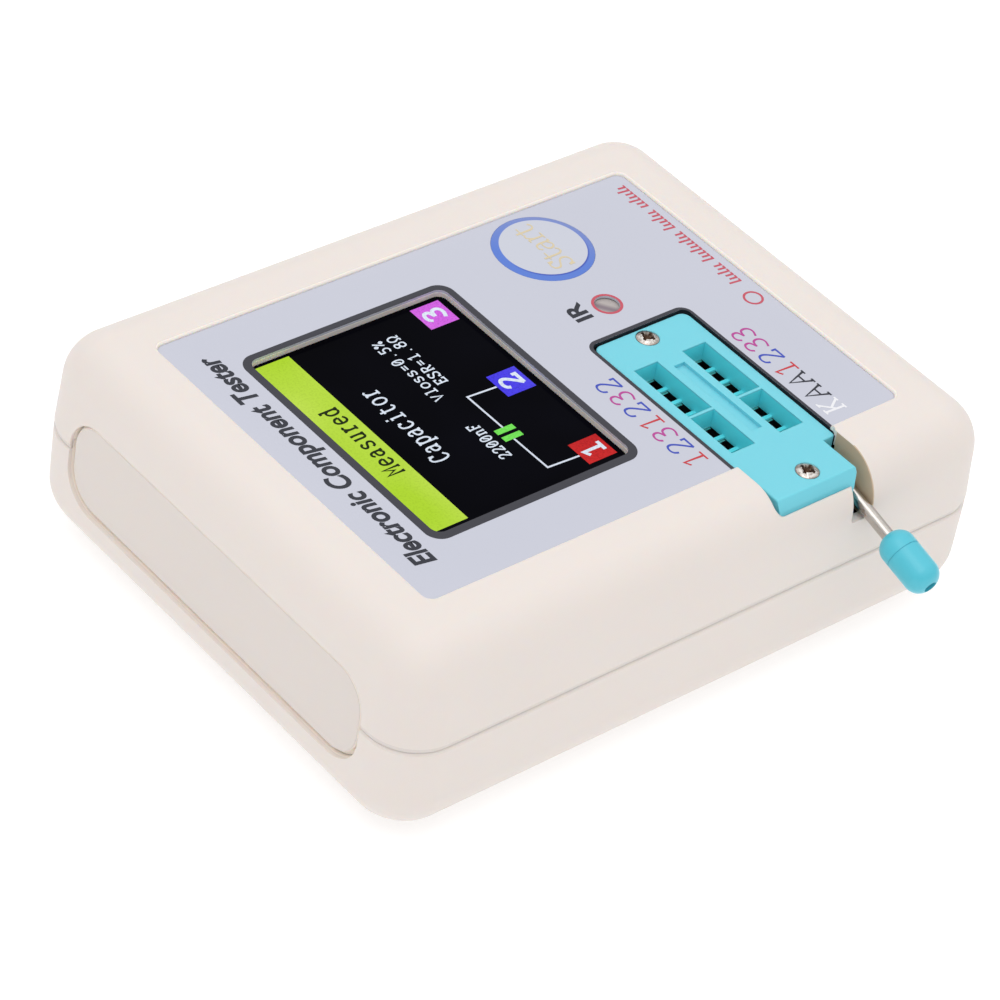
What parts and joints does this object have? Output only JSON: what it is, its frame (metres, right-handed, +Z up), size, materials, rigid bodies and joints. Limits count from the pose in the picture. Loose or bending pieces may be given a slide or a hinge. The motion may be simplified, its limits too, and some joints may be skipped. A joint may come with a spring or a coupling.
{
  "type": "component tester",
  "caption": "Hand-sized bench tester for electronic parts: ivory two-part case, printed top with colour screen and round key, and a lever-operated zero-force test socket.",
  "frame": {"origin": "centre of the case's flat underside", "axes": "+X to the right of a reader, +Y towards the title end of the top, +Z up"},
  "size_m": [0.0814, 0.09, 0.028],
  "materials": {
    "case_plastic": "fine moulded texture",
    "screw_steel": "plated",
    "label_film": "satin printed film",
    "key_film": "satin printed film, raised",
    "white_plastic": "plain",
    "black_plastic": "plain",
    "display_glass": "polished",
    "circuit_board": "solder mask",
    "smoked_window": "smoked clear",
    "socket_plastic": "satin moulded",
    "contact_metal": "plated spring contact",
    "screw_chrome": "bright plated",
    "lever_steel": "bright drawn rod",
    "knob_plastic": "soft gloss",
    "can_metal": "drawn",
    "light_plastic": "clear",
    "battery_foil": "pouch foil",
    "foam_pad": "adhesive foam",
    "wire_insulation": "silicone"
  },
  "bodies": {
    "case": {"top_shell": "case_plastic", "bottom_shell": "case_plastic", "blank_end_panel": "case_plastic", "port_end_panel": "case_plastic", "case_screws": "screw_steel", "label_film": "label_film", "switch_body": "black_plastic", "display_glass": "display_glass", "display_backlight": "white_plastic", "display_board": "circuit_board", "display_header": "black_plastic", "ir_window": "smoked_window", "ir_receiver": "black_plastic", "socket_base": "socket_plastic", "socket_cover": "socket_plastic", "socket_contacts": "contact_metal", "socket_screws": "screw_chrome", "main_board": "circuit_board", "microcontroller": "black_plastic", "crystal": "can_metal", "charger_chip": "black_plastic", "board_components": "black_plastic", "can_capacitors": "can_metal", "charging_socket": "can_metal", "charge_lights": "light_plastic", "battery_cell": "battery_foil", "battery_pad": "foam_pad", "battery_leads": "wire_insulation", "battery_connector": "white_plastic"},
    "lever": {"lever_rod": "lever_steel", "lever_knob": "knob_plastic"},
    "slider": {"socket_slider": "black_plastic"},
    "key": {"start_key": "key_film", "key_actuator": "white_plastic", "switch_plunger": "black_plastic"}
  },
  "joints": [
    {"name": "slider_travel", "type": "slide", "parent": "case", "child": "slider", "axis": [-1, 0, 0], "range_m": [0, 0.0009]},
    {"name": "lever_swing", "type": "hinge", "parent": "case", "child": "lever", "pos_m": [-0.0275, -0.017, 0.024], "axis": [0, 1, 0], "range_deg": [0, 100]},
    {"name": "key_press", "type": "slide", "parent": "case", "child": "key", "axis": [0, 0, -1], "range_m": [0, 0.0003], "stiffness_N_per_m": 4000, "springref_m": -0.0001}
  ],
  "couplings": [
    {"joint": "lever_swing", "follows": "slider_travel", "rad_per_m": 1939.2}
  ]
}
